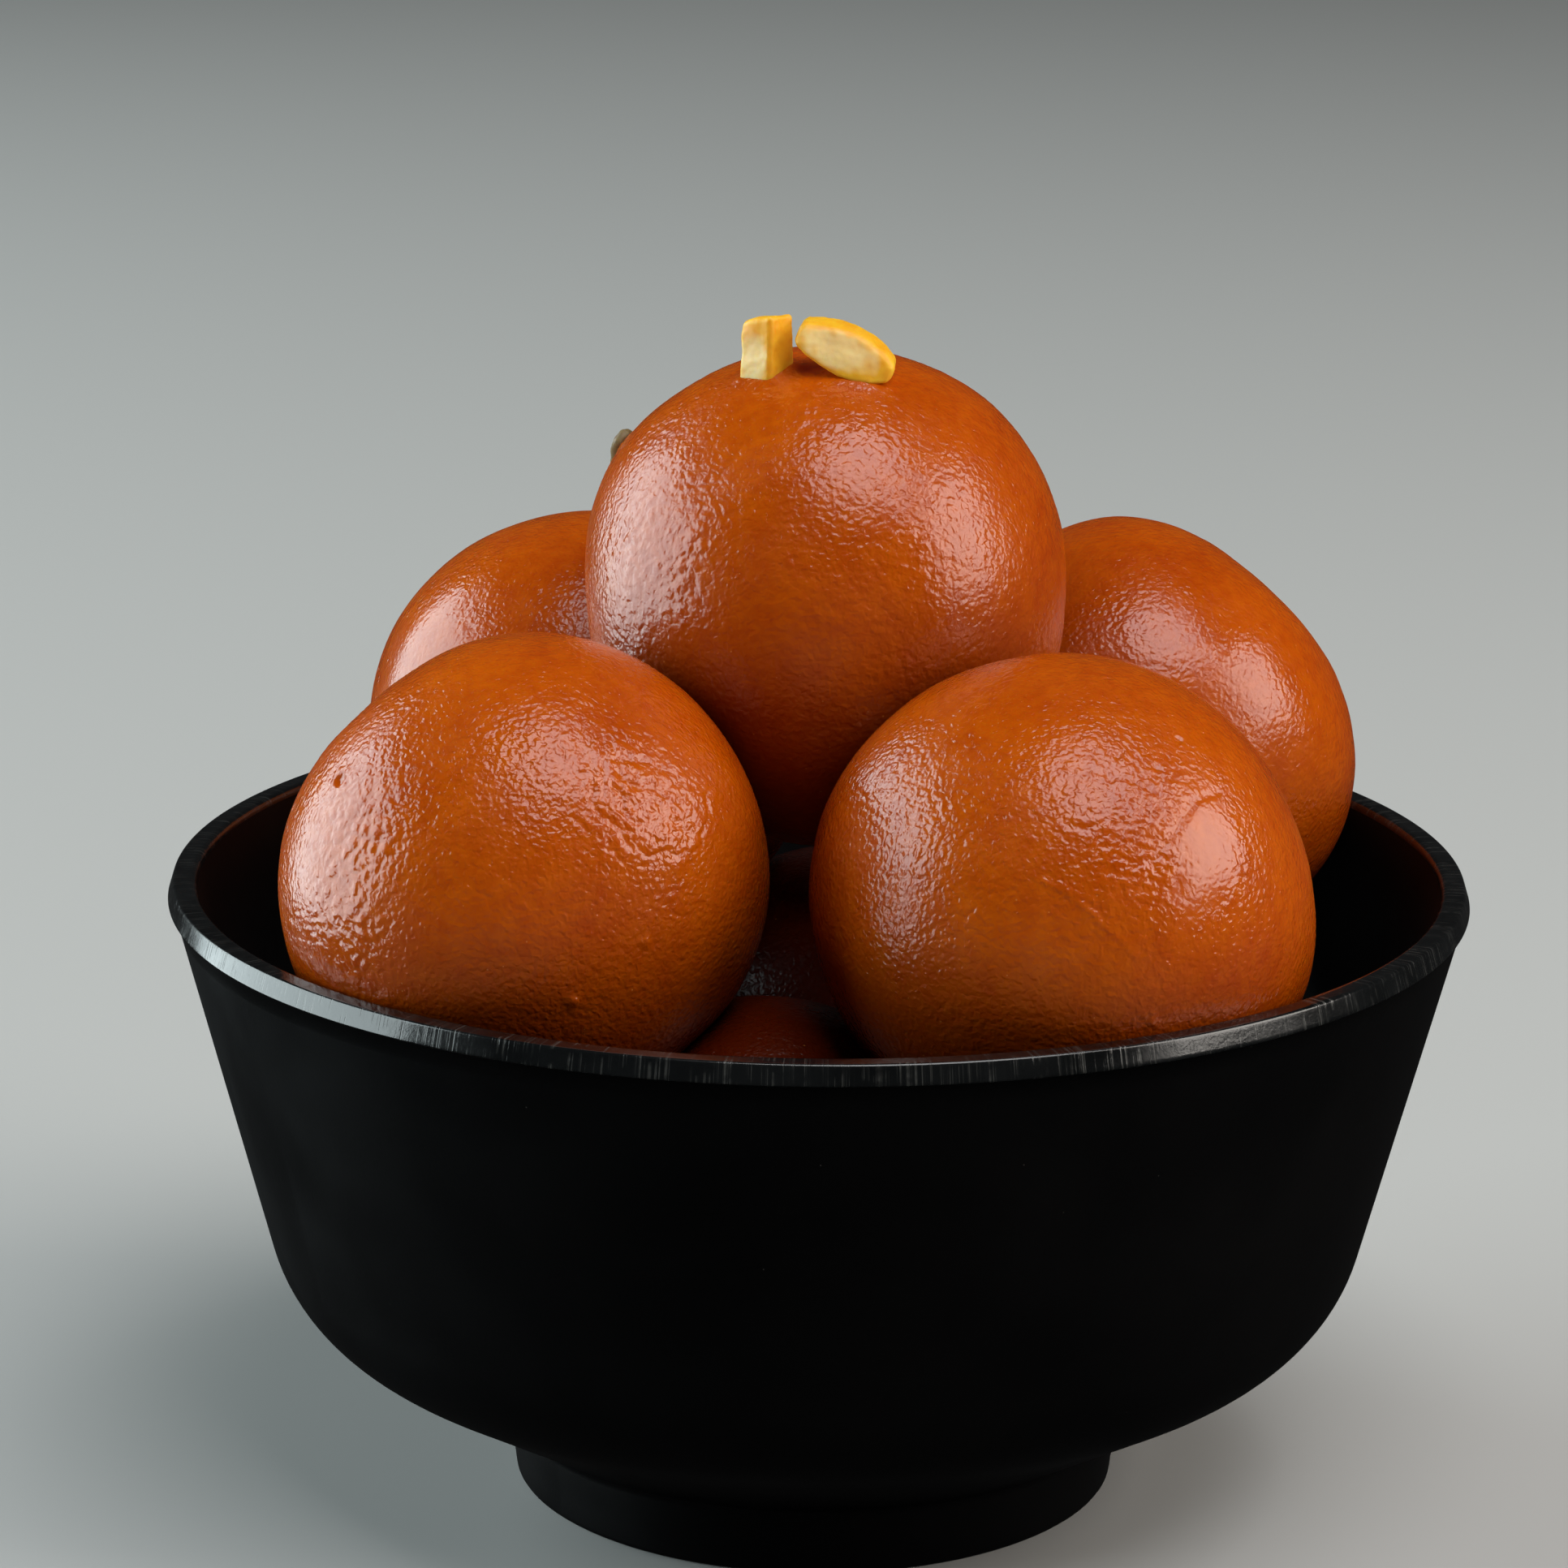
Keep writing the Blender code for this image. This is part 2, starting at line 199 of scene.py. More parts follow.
BALLS = (
    TOP,
    FRONT_LEFT,
    FRONT_RIGHT,
    Ball(
        "jamun_back_left",
        60,
        0.026 * MM,
        0.25 * MM,
        (Patch("taut", (-144.0, 22.0), 8.0 * MM, 8.0 * MM, 0.0, 1.0),),
        (),
        (),
    ),
    Ball(
        "jamun_back_right",
        60,
        0.026 * MM,
        0.25 * MM,
        (Patch("taut", (-62.0, 28.0), 10.0 * MM, 10.0 * MM, 0.0, 0.7),),
        (),
        (),
    ),
    Ball("jamun_low_front", 48, 0.036 * MM, 0.2 * MM, (), (), ()),
    Ball("jamun_low_back", 38, 0.036 * MM, 0.2 * MM, (), (), ()),
    Ball("jamun_low_left", 32, 0.036 * MM, 0.2 * MM, (), (), ()),
    Ball("jamun_low_right", 32, 0.036 * MM, 0.2 * MM, (), (), ()),
)

# Each sliver has one face where the pale core of the nut shows. Its direction is given, then how far the
# middle of the pale part is from the middle of the piece, and how far it reaches along and across.
Sliver = namedtuple("Sliver", "node slot core_face core_at reach")
SLIVERS = (
    Sliver("almond_stub", "saffron_almond", (-0.77, -0.64, 0.0), (0.0, 0.0, -0.7 * MM), (2.3 * MM, 1.7 * MM)),
    Sliver("almond_slice", "saffron_almond", (0.0, -0.97, 0.22), (-0.8 * MM, 0.0, 0.0), (3.6 * MM, 1.6 * MM)),
    Sliver("pistachio_chip", "pistachio", (-0.80, 0.32, 0.50), (0.0, 0.0, 0.0), (3.6 * MM, 1.4 * MM)),
)

# ---------------------------------------------------------------- camera and lights

CAMERA_PLACE = (-0.00314, -0.45288, 0.18534)
CAMERA_DIP = 15.04  # degrees below level
CAMERA_ROLL = 0.453
LENS = 121.66  # millimetres, on a frame 36 wide
FRAME_WIDTH = 36.0

# Each light's direction from the bowl is in degrees, its size in metres. radiance is how bright its face is.
Softbox = namedtuple("Softbox", "name azimuth elevation width height radiance colour")
SOFTBOX_DISTANCE = 1.2
SOFTBOXES = (
    Softbox("softbox_left", 168, 10, 1.36, 1.24, 5.2, (0.84, 0.98, 1.0)),
    Softbox("softbox_right", 347, 27, 0.74, 0.76, 5.4, (1.0, 0.94, 0.87)),
    Softbox("softbox_above", 305, 67, 0.80, 0.80, 4.6, (1.0, 1.0, 1.0)),
)
ROOM_COLOUR = (1.0, 1.0, 1.0, 1.0)
ROOM_STRENGTH = 0.02


# ---------------------------------------------------------------- mesh help


def add_piece(name, points, faces, material, node):
    mesh = bpy.data.meshes.new(name)
    mesh.from_pydata(points.tolist(), [], faces.tolist() if isinstance(faces, np.ndarray) else faces)
    mesh.validate()
    mesh.shade_smooth()
    mesh.materials.append(material)
    piece = bpy.data.objects.new(name, mesh)
    bpy.context.scene.collection.objects.link(piece)
    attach(piece, "root")
    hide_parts(node)
    return piece


def store(piece, name, values):
    """Keeps one number for each point of the piece, for its material to read."""
    attribute = piece.data.attributes.new(name, "FLOAT", "POINT")
    attribute.data.foreach_set("value", np.asarray(values, np.float32))


def node_points(node):
    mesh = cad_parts[node].data
    points = np.empty(len(mesh.vertices) * 3)
    mesh.vertices.foreach_get("co", points)
    return points.reshape(-1, 3)


def ripple(points, size, shift):
    """Smooth random waves between about -1 and 1, roughly as wide as size. Each shift gives other waves."""
    offset = Vector((shift * 7.31, shift * 3.17, shift * 5.53))
    return np.array([noise.noise(Vector(point) / size + offset) for point in points])


# ---------------------------------------------------------------- bowl


def turn(start, radius, turn_from, turn_to, steps):
    """Points after start on a line that heads down and in, turning between two angles from the vertical."""
    first = math.radians(turn_from)
    points = []
    for step in range(1, steps + 1):
        angle = math.radians(turn_from + (turn_to - turn_from) * step / steps)
        across = radius * (math.cos(angle) - math.cos(first))
        down = radius * (math.sin(angle) - math.sin(first))
        points.append((start[0] + across, start[1] - down))
    return points


def corner(centre_x, centre_z, radius, angle_from, angle_to, steps):
    points = []
    for step in range(steps + 1):
        angle = math.radians(angle_from + (angle_to - angle_from) * step / steps)
        points.append((centre_x + radius * math.cos(angle), centre_z + radius * math.sin(angle)))
    return points


def bowl_section(rim, height):
    """The bowl's section in three stretches: inside from the centre up, over the lip, outside down."""
    taper = math.radians(WALL_TAPER)
    cone = math.radians(UNDERSIDE_TURN)
    wall_top = (rim - LIP_STEP, height - LIP_HEIGHT - LIP_STEP / 2)
    wall_foot_z = height - WALL_DEPTH
    wall_foot = (wall_top[0] - (wall_top[1] - wall_foot_z) * math.tan(taper), wall_foot_z)

    start = (wall_foot[0] - WALL * math.cos(taper), wall_foot[1] + WALL * math.sin(taper))
    knuckle = turn(start, KNUCKLE_RADIUS - WALL, WALL_TAPER, UNDERSIDE_TURN, 12)
    round_top = height - FLOOR_DEPTH + FLOOR_ROUND * (1 - math.sin(cone))
    round_start = (knuckle[-1][0] - (knuckle[-1][1] - round_top) * math.tan(cone), round_top)
    floor = turn(round_start, FLOOR_ROUND, UNDERSIDE_TURN, 90.0, 10)
    inside = [start] + knuckle + [round_start] + floor + [(0.0, height - FLOOR_DEPTH)]

    inner_x = rim - LIP_WIDTH + LIP_INNER_ROUND
    lip_inner = corner(inner_x, height - LIP_INNER_ROUND, LIP_INNER_ROUND, 180, 90, 6)
    side = math.degrees(math.atan2(LIP_LEAN, LIP_HEIGHT))
    outer_x = rim - LIP_LEAN - LIP_OUTER_ROUND
    lip_outer = corner(outer_x, height - LIP_OUTER_ROUND, LIP_OUTER_ROUND, 90, side, 6)
    lip_under = corner(rim - LIP_UNDER_ROUND, height - LIP_HEIGHT, LIP_UNDER_ROUND, side, -70, 5)
    lip = even_steps(lip_inner + lip_outer + lip_under, LIP_EDGE)

    outer_knuckle = turn(wall_foot, KNUCKLE_RADIUS, WALL_TAPER, UNDERSIDE_TURN, 14)
    fillet_top = FOOT_TOP_RADIUS + FOOT_FILLET * (1 - math.cos(cone))
    last = outer_knuckle[-1]
    cone_foot = (fillet_top, last[1] - (last[0] - fillet_top) / math.tan(cone))
    fillet = turn(cone_foot, -FOOT_FILLET, UNDERSIDE_TURN, 0.0, 6)
    ring = FOOT_RADIUS - FOOT_RING
    foot = corner(FOOT_RADIUS - FOOT_EDGE, FOOT_EDGE, FOOT_EDGE, 0, -90, 4)
    foot += corner(ring + FOOT_EDGE, FOOT_EDGE, FOOT_EDGE, -90, -180, 4)
    recess = corner(ring - RECESS_ROUND, RECESS - RECESS_ROUND, RECESS_ROUND, 0, 90, 4)
    outside = [wall_top, wall_foot] + outer_knuckle + [cone_foot] + fillet + foot + recess + [(0.0, RECESS)]
    return inside[::-1], lip, outside


def even_steps(section, longest=STRAIGHT_STEP):
    """Cuts long straight stretches of the section into short ones."""
    points = [section[0]]
    for start, end in zip(section[:-1], section[1:]):
        pieces = max(1, math.ceil(math.dist(start, end) / longest))
        for step in range(1, pieces + 1):
            share = step / pieces
            points.append(tuple(a + (b - a) * share for a, b in zip(start, end)))
    return points


def turned(section, segments):
    """Points and faces of a section turned about the axis. It starts and ends on the axis."""
    angles = np.arange(segments) * 2 * math.pi / segments
    rings = section[1:-1]
    points = [(0.0, 0.0, section[0][1]), (0.0, 0.0, section[-1][1])]
    for radius, z in rings:
        points += [(radius * math.cos(a), radius * math.sin(a), z) for a in angles]
    last = 2 + (len(rings) - 1) * segments
    faces = []
    for step in range(segments):
        after = (step + 1) % segments
        faces.append((0, 2 + step, 2 + after))
        faces.append((1, last + after, last + step))
        for ring in range(len(rings) - 1):
            low = 2 + ring * segments
            high = low + segments
            faces.append((low + step, high + step, high + after, low + after))
    return np.array(points), faces


def build_bowl(glaze, worn):
    """The bowl, with the worn finish on its lip and the glaze everywhere else."""
    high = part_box("bowl")[1]
    inside, lip, outside = bowl_section(high.x, high.z)
    points, faces = turned(even_steps(inside + lip + outside), BOWL_SEGMENTS)
    bowl = add_piece("bowl_turned", points, faces, glaze, "bowl")
    bowl.data.materials.append(worn)
    lip_foot = high.z - LIP_HEIGHT - LIP_STEP
    for face in bowl.data.polygons:
        middle = face.center
        if middle.z > lip_foot and math.hypot(middle.x, middle.y) > high.x - LIP_WIDTH:
            face.material_index = 1


# ---------------------------------------------------------------- jamuns


def geodesic(frequency):
    """Directions and triangles of a ball: an icosahedron with each edge cut in frequency parts."""
    seed = bmesh.new()
    bmesh.ops.create_icosphere(seed, subdivisions=1, radius=1.0)
    corners = np.array([vert.co for vert in seed.verts])
    sides = [[vert.index for vert in face.verts] for face in seed.faces]
    seed.free()
    grid = [(i, j) for i in range(frequency + 1) for j in range(frequency + 1 - i)]
    place = {step: index for index, step in enumerate(grid)}
    cuts = []
    for i, j in grid:
        if i + j < frequency:
            cuts.append((place[i, j], place[i + 1, j], place[i, j + 1]))
        if i + j < frequency - 1:
            cuts.append((place[i + 1, j], place[i + 1, j + 1], place[i, j + 1]))
    weights = np.array([(frequency - i - j, i, j) for i, j in grid]) / frequency
    points = np.concatenate([weights @ corners[side] for side in sides])
    triangles = np.concatenate([np.array(cuts) + number * len(grid) for number in range(len(sides))])
    _, first, index = np.unique(np.round(points, 6), axis=0, return_index=True, return_inverse=True)
    directions = points[first] / np.linalg.norm(points[first], axis=1, keepdims=True)
    return directions, index.reshape(-1)[triangles]


def node_radius(node, centre, directions):
    """Distance from centre to the node's skin in each direction, with the facets smoothed away."""
    spokes = np.unique(np.round(node_points(node), 7), axis=0) - centre
    lengths = np.linalg.norm(spokes, axis=1)
    ways = (spokes / lengths[:, None]).astype(np.float32)
    spread = math.radians(SOFTEN_ANGLE) ** 2
    closeness = np.exp((directions.astype(np.float32) @ ways.T - 1) / spread)
    return (closeness @ lengths) / closeness.sum(1)


def way(azimuth, elevation):
    flat = math.cos(math.radians(elevation))
    azimuth = math.radians(azimuth)
    return np.array((flat * math.cos(azimuth), flat * math.sin(azimuth), math.sin(math.radians(elevation))))


def beside(place, directions, radius):
    """How far across and up each point lies from a place on the ball. Points on the far side are very far."""
    middle = way(*place)
    across = np.cross((0.0, 0.0, 1.0), middle)
    across /= np.linalg.norm(across)
    up = np.cross(middle, across)
    behind = np.where(directions @ middle > 0, 1.0, 100.0)
    return directions @ across * radius * behind, directions @ up * radius * behind


def leather(points, size, shift):
    """Rounded cells about as wide as size with narrow valleys between, from about -0.6 to 0.4."""
    offset = Vector((shift * 5.1, shift * 2.7, shift * 8.3))
    stretched = points * (1.0, 1.0, LEVEL_STRETCH) / size
    heights = []
    for point in stretched:
        distance = noise.voronoi(Vector(point) + offset)[0]
        heights.append(0.4 - math.exp(-4.0 * (distance[1] - distance[0])))
    return np.array(heights)


def patch_share(patch, across, up, shift):
    """1 inside the patch, falling to 0 over an uneven edge."""
    edge = ripple(np.stack([across, up, np.zeros_like(up)], 1), PATCH_EDGE, shift + 9)
    away = np.hypot((across + patch.lean * up) / patch.wide, up / patch.tall) + 0.35 * edge
    return patch.strength / (1 + np.exp((away - 1) * 11))


def folds(across, up):
    """Skin that has shrunk into broken, curved folds round one spot."""
    flat = np.stack([across, up, np.zeros_like(up)], 1)
    across = across + 1.3 * MM * ripple(flat, 1.9 * MM, 31)
    up = up + 1.3 * MM * ripple(flat, 1.9 * MM, 32)
    around = np.arctan2(up, across)
    ring = np.stack([np.hypot(across, up) / 0.5, 1.4 * MM * np.cos(around), 1.4 * MM * np.sin(around)], 1)
    ridges = 1 - 2.6 * np.abs(ripple(ring, 1.0 * MM, 33))
    return 0.14 * MM * np.maximum(ridges, -0.3)


def level_wrinkles(across, up):
    """Long shallow wrinkles that run level round the ball."""
    flat = np.stack([across, up, np.zeros_like(up)], 1)
    up = up + 0.5 * MM * ripple(flat, 1.8 * MM, 41)
    wrinkles = np.stack([across / 3.2, up, np.zeros_like(up)], 1)
    return 0.08 * MM * ripple(wrinkles, 0.42 * MM, 42)


def crease(mark, points):
    """A fine line along the crease's route. points are on the ball, from its centre."""
    radius = np.linalg.norm(points, axis=1).mean()
    route = [way(*place) * radius for place in mark.route]
    nearest = np.full(len(points), 1.0)
    for start, end in zip(route[:-1], route[1:]):
        along = np.clip((points - start) @ (end - start) / np.dot(end - start, end - start), 0, 1)
        nearest = np.minimum(nearest, np.linalg.norm(points - start - along[:, None] * (end - start), axis=1))
    return -mark.depth * np.exp(-((nearest / mark.width) ** 2))


def pit(mark, points):
    """A small burst hole with a low rim, or a bead where depth is negative."""
    radius = np.linalg.norm(points, axis=1).mean()
    away = np.linalg.norm(points - way(*mark.place) * radius, axis=1) / mark.size
    rim = 0.15 * abs(mark.depth) * np.exp(-(((away - 1.5) / 0.35) ** 2))
    return rim - mark.depth * np.exp(-(away**4))


def skin_relief(ball, number, directions, radius):
    """Height of the skin over the smooth ball, and how free it is of fine grain from 0 to 1."""
    flat = directions * radius[:, None]
    coarse = np.zeros(len(flat))
    taut = np.zeros(len(flat))
    relief = np.zeros(len(flat))
    for patch in ball.patches:
        across, up = beside(patch.place, directions, radius.mean())
        share = patch_share(patch, across, up, number)
        if patch.kind == "taut":
            taut = np.maximum(taut, share)
        elif patch.kind == "coarse":
            coarse = np.maximum(coarse, share)
        elif patch.kind == "folds":
            relief += share * folds(across, up)
        else:
            relief += share * level_wrinkles(across, up)
    pushes = [ripple(flat, WARP_SIZE, number + shift) for shift in (40, 50, 60)]
    warped = flat + WARP * np.stack(pushes, 1)
    small = leather(warped, WRINKLE, number)
    if coarse.any():
        small += coarse * (LUMP_HEIGHT * leather(warped, LUMP, number + 30) - small)
    patchy = np.clip(0.8 + ripple(flat, THICK_AND_THIN, number + 70), 0.3, 1.5)
    relief += ball.pebble * patchy * small * (1 - TAUT_FLATTENS * taut)
    relief += ball.swell * (ripple(flat, SWELL, number) + 0.3 * ripple(flat, SMALL_SWELL, number + 20))
    for mark in ball.creases:
        relief += crease(mark, flat)
    for mark in ball.pits:
        relief += pit(mark, flat)
    return relief, np.maximum(taut, COARSE_CALMS * coarse)


def meniscus(points):
    """How much syrup creeps up round the foot of each sliver, 0 to 1."""
    creep = np.zeros(len(points))
    for sliver in SLIVERS:
        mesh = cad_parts[sliver.node].data
        tree = BVHTree.FromPolygons([v.co for v in mesh.vertices], [p.vertices for p in mesh.polygons])
        for index, point in enumerate(points):
            gap = tree.find_nearest(Vector(point), MENISCUS_END)[3]
            if gap is not None:
                creep[index] = max(creep[index], math.exp(-((gap / MENISCUS_REACH) ** 2)))
    return creep


def shade_and_soak_share(node, points):
    """How dark the skin is painted, from 0 to 1, as painted shade with some syrup stain: most near other balls
    and low in the bowl.
    """
    share = np.clip((SHADE_AND_SOAK_TOP - points[:, 2]) / SHADE_AND_SOAK_DEPTH, SHADE_AND_SOAK_LOW if "low" in node else 0, 1)
    for other in BALLS:
        if other.node != node:
            low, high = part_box(other.node)
            gap = np.linalg.norm(points - np.array((low + high) / 2), axis=1) - (high.x - low.x) / 2
            share = np.maximum(share, SHADE_AND_SOAK_MEETING * np.exp(-np.maximum(gap, 0) / SHADE_AND_SOAK_REACH))
    return share


def build_jamun(ball, number, material):
    low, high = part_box(ball.node)
    centre = np.array((low + high) / 2)
    directions, triangles = geodesic(ball.frequency)
    radius = node_radius(ball.node, centre, directions) + TOUCH
    relief, taut = skin_relief(ball, number, directions, radius)
    points = centre + directions * (radius + relief)[:, None]
    if ball.node == "jamun_top":
        creep = meniscus(points)
        points += directions * (MENISCUS * creep)[:, None]
        taut = np.maximum(taut, 0.5 * creep)
    name = ball.node.replace("jamun", "ball")
    piece = add_piece(name, points, triangles, material, ball.node)
    store(piece, "taut", taut)
    # painted shade, partly syrup stain, for the skin's colour to read
    store(piece, "shade_and_soak", shade_and_soak_share(ball.node, points))


# ---------------------------------------------------------------- slivers


def core_share(sliver, points, normals):
    """1 on the pale middle of the sliver's cut face, falling to 0 at its edges and on its other sides."""
    faced = np.array(sliver.core_face) / np.linalg.norm(sliver.core_face)
    spans = points - points.mean(0) - sliver.core_at
    _, _, axes = np.linalg.svd(spans - np.outer(spans @ faced, faced), full_matrices=False)
    along = spans @ axes[0] / sliver.reach[0]
    across = spans @ axes[1] / sliver.reach[1]
    ragged = 0.5 * ripple(points, 0.9 * MM, 15)
    inside = 1.25 - along**2 - across**2 + ragged
    facing = np.clip((normals @ faced - 0.80) / 0.15, 0, 1)
    return facing * np.clip(inside * 1.3, 0, 1)


def build_sliver(sliver, material):
    """The node's shape with worn edges and a cut nut's uneven faces, sunk a little into the syrup."""
    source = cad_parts[sliver.node].data.copy()
    rough = bpy.data.objects.new(sliver.node + "_rough", source)
    bpy.context.scene.collection.objects.link(rough)
    remesh = rough.modifiers.new("Even mesh", "REMESH")
    remesh.mode = "VOXEL"
    remesh.voxel_size = SLIVER_VOXEL
    smooth = rough.modifiers.new("Worn edges", "SMOOTH")
    smooth.factor = 0.5
    smooth.iterations = 14
    graph = bpy.context.evaluated_depsgraph_get()
    made = bpy.data.meshes.new_from_object(rough.evaluated_get(graph))
    points = np.array([vert.co for vert in made.vertices])
    normals = np.array([vert.normal for vert in made.vertices])
    faces = [tuple(face.vertices) for face in made.polygons]
    bpy.data.objects.remove(rough, do_unlink=True)
    bpy.data.meshes.remove(made)
    core = core_share(sliver, points, normals)
    uneven = CUT_WAVE_HEIGHT * ripple(points, CUT_WAVE, 11) + CUT_CRUMB_HEIGHT * ripple(points, CUT_CRUMB, 12)
    points += normals * (uneven * MM)[:, None]
    low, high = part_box("jamun_top")
    inwards = np.array((low + high) / 2) - points.mean(0)
    points += inwards / np.linalg.norm(inwards) * SLIVER_SINK
    piece = add_piece(sliver.node + "_cut", points, faces, material, sliver.node)
    store(piece, "core", core)


# ---------------------------------------------------------------- shader groups


def new_group(name, inputs, outputs):
    """A shader group with its sockets. inputs are (name, kind, value); outputs are (name, kind)."""
    group = bpy.data.node_groups.new(name, "ShaderNodeTree")
    for label, kind, value in inputs:
        socket = group.interface.new_socket(label, in_out="INPUT", socket_type=kind)
        if value is not None:
            socket.default_value = value
    for label, kind in outputs:
        group.interface.new_socket(label, in_out="OUTPUT", socket_type=kind)
    return group, group.nodes.new("NodeGroupInput").outputs, group.nodes.new("NodeGroupOutput").inputs


def feed(tree, socket, value):
    """Links value to the socket if it is a socket, and otherwise sets it."""
    if isinstance(value, bpy.types.NodeSocket):
        tree.links.new(value, socket)
    else:
        socket.default_value = value


def combined(tree, operation, first, second):
    """Two values added, multiplied, divided and so on."""
    node = tree.nodes.new("ShaderNodeMath")
    node.operation = operation
    feed(tree, node.inputs[0], first)
    feed(tree, node.inputs[1], second)
    return node.outputs[0]


def spread_over(tree, value, low, high, new_low=0.0, new_high=1.0):
    """The value's stretch from low to high, spread over the new one and held at its ends."""
    node = tree.nodes.new("ShaderNodeMapRange")
    node.clamp = True
    for name, number in (("From Min", low), ("From Max", high), ("To Min", new_low), ("To Max", new_high)):
        feed(tree, node.inputs[name], number)
    feed(tree, node.inputs["Value"], value)
    return node.outputs["Result"]


def blend(tree, share, first, second):
    node = tree.nodes.new("ShaderNodeMix")
    node.data_type = "RGBA"
    feed(tree, node.inputs["Factor"], share)
    feed(tree, node.inputs["A"], first)
    feed(tree, node.inputs["B"], second)
    return node.outputs["Result"]


def waves(tree, vector, size, detail=2.0, roughness=0.5, distortion=0.0):
    """Noise whose bumps are about as wide as size."""
    node = tree.nodes.new("ShaderNodeTexNoise")
    feed(tree, node.inputs["Vector"], vector)
    feed(tree, node.inputs["Scale"], combined(tree, "DIVIDE", 1.0, size))
    feed(tree, node.inputs["Detail"], detail)
    node.inputs["Roughness"].default_value = roughness
    node.inputs["Distortion"].default_value = distortion
    return node.outputs["Fac"]


def mottle_group():
    """Two colours that drift into each other over patches of one size, with finer blotches inside."""
    group, given, made = new_group(
        "Mottle",
        (
            ("Vector", "NodeSocketVector", None),
            ("Size", "NodeSocketFloat", 0.01),
            ("First", "NodeSocketColor", (0, 0, 0, 1)),
            ("Second", "NodeSocketColor", (1, 1, 1, 1)),
        ),
        (("Color", "NodeSocketColor"),),
    )
    wide = waves(group, given["Vector"], given["Size"], detail=3.0)
    share = spread_over(group, wide, 0.32, 0.68)
    group.links.new(blend(group, share, given["First"], given["Second"]), made["Color"])
    return group


def grain_group():
    """Fine uneven relief, from 0 to 1."""
    group, given, made = new_group(
        "Grain",
        (
            ("Vector", "NodeSocketVector", None),
            ("Size", "NodeSocketFloat", 0.001),
            ("Pits", "NodeSocketFloat", 0.3),
            ("Detail", "NodeSocketFloat", 3.0),
        ),
        (("Height", "NodeSocketFloat"),),
    )
    where, size = given["Vector"], given["Size"]
    bumps = waves(group, where, size, detail=given["Detail"], roughness=0.6, distortion=0.4)
    cells = group.nodes.new("ShaderNodeTexVoronoi")
    feed(group, cells.inputs["Vector"], where)
    feed(group, cells.inputs["Scale"], combined(group, "DIVIDE", 0.8, size))
    hollows = spread_over(group, cells.outputs["Distance"], 0.0, 0.35)
    pitted = combined(group, "MULTIPLY", hollows, given["Pits"])
    group.links.new(combined(group, "ADD", bumps, pitted), made["Height"])
    return group


def gloss_group():
    """Roughness that varies between two values."""
    group, given, made = new_group(
        "Uneven gloss",
        (
            ("Vector", "NodeSocketVector", None),
            ("Size", "NodeSocketFloat", 0.01),
            ("Low", "NodeSocketFloat", 0.2),
            ("High", "NodeSocketFloat", 0.4),
        ),
        (("Roughness", "NodeSocketFloat"),),
    )
    patches = waves(group, given["Vector"], given["Size"], detail=2.0)
    group.links.new(spread_over(group, patches, 0.35, 0.65, given["Low"], given["High"]), made["Roughness"])
    return group


def fleck_group():
    """A mask of a few small round flecks. Share is the part of the cells that hold one."""
    group, given, made = new_group(
        "Flecks",
        (
            ("Vector", "NodeSocketVector", None),
            ("Size", "NodeSocketFloat", 0.001),
            ("Share", "NodeSocketFloat", 0.1),
        ),
        (("Mask", "NodeSocketFloat"),),
    )
    cells = group.nodes.new("ShaderNodeTexVoronoi")
    feed(group, cells.inputs["Vector"], given["Vector"])
    feed(group, cells.inputs["Scale"], combined(group, "DIVIDE", 0.25, given["Size"]))
    chance = group.nodes.new("ShaderNodeSeparateColor")
    group.links.new(cells.outputs["Color"], chance.inputs["Color"])
    chosen = combined(group, "LESS_THAN", chance.outputs["Red"], given["Share"])
    round_mask = spread_over(group, cells.outputs["Distance"], 0.09, 0.14, 1.0, 0.0)
    group.links.new(combined(group, "MULTIPLY", chosen, round_mask), made["Mask"])
    return group


def placed(tree, group, **values):
    """The group in a material. A keyword's underscore stands for a space in the socket's name."""
    node = tree.nodes.new("ShaderNodeGroup")
    node.node_tree = group
    for name, value in values.items():
        feed(tree, node.inputs[name.replace("_", " ")], value)
    return node.outputs[0]


# ---------------------------------------------------------------- materials


def new_material(name):
    material = bpy.data.materials.new(name)
    material.use_nodes = True
    tree = material.node_tree
    where = tree.nodes.new("ShaderNodeTexCoord").outputs["Object"]
    return material, tree, tree.nodes["Principled BSDF"], where


def read(tree, name):
    """The number that store() kept under this name."""
    node = tree.nodes.new("ShaderNodeAttribute")
    node.attribute_name = name
    return node.outputs["Fac"]


def bump(tree, shader, height, distance):
    node = tree.nodes.new("ShaderNodeBump")
    node.inputs["Distance"].default_value = distance
    node.inputs["Strength"].default_value = 1.0
    feed(tree, node.inputs["Height"], height)
    tree.links.new(node.outputs["Normal"], shader.inputs["Normal"])


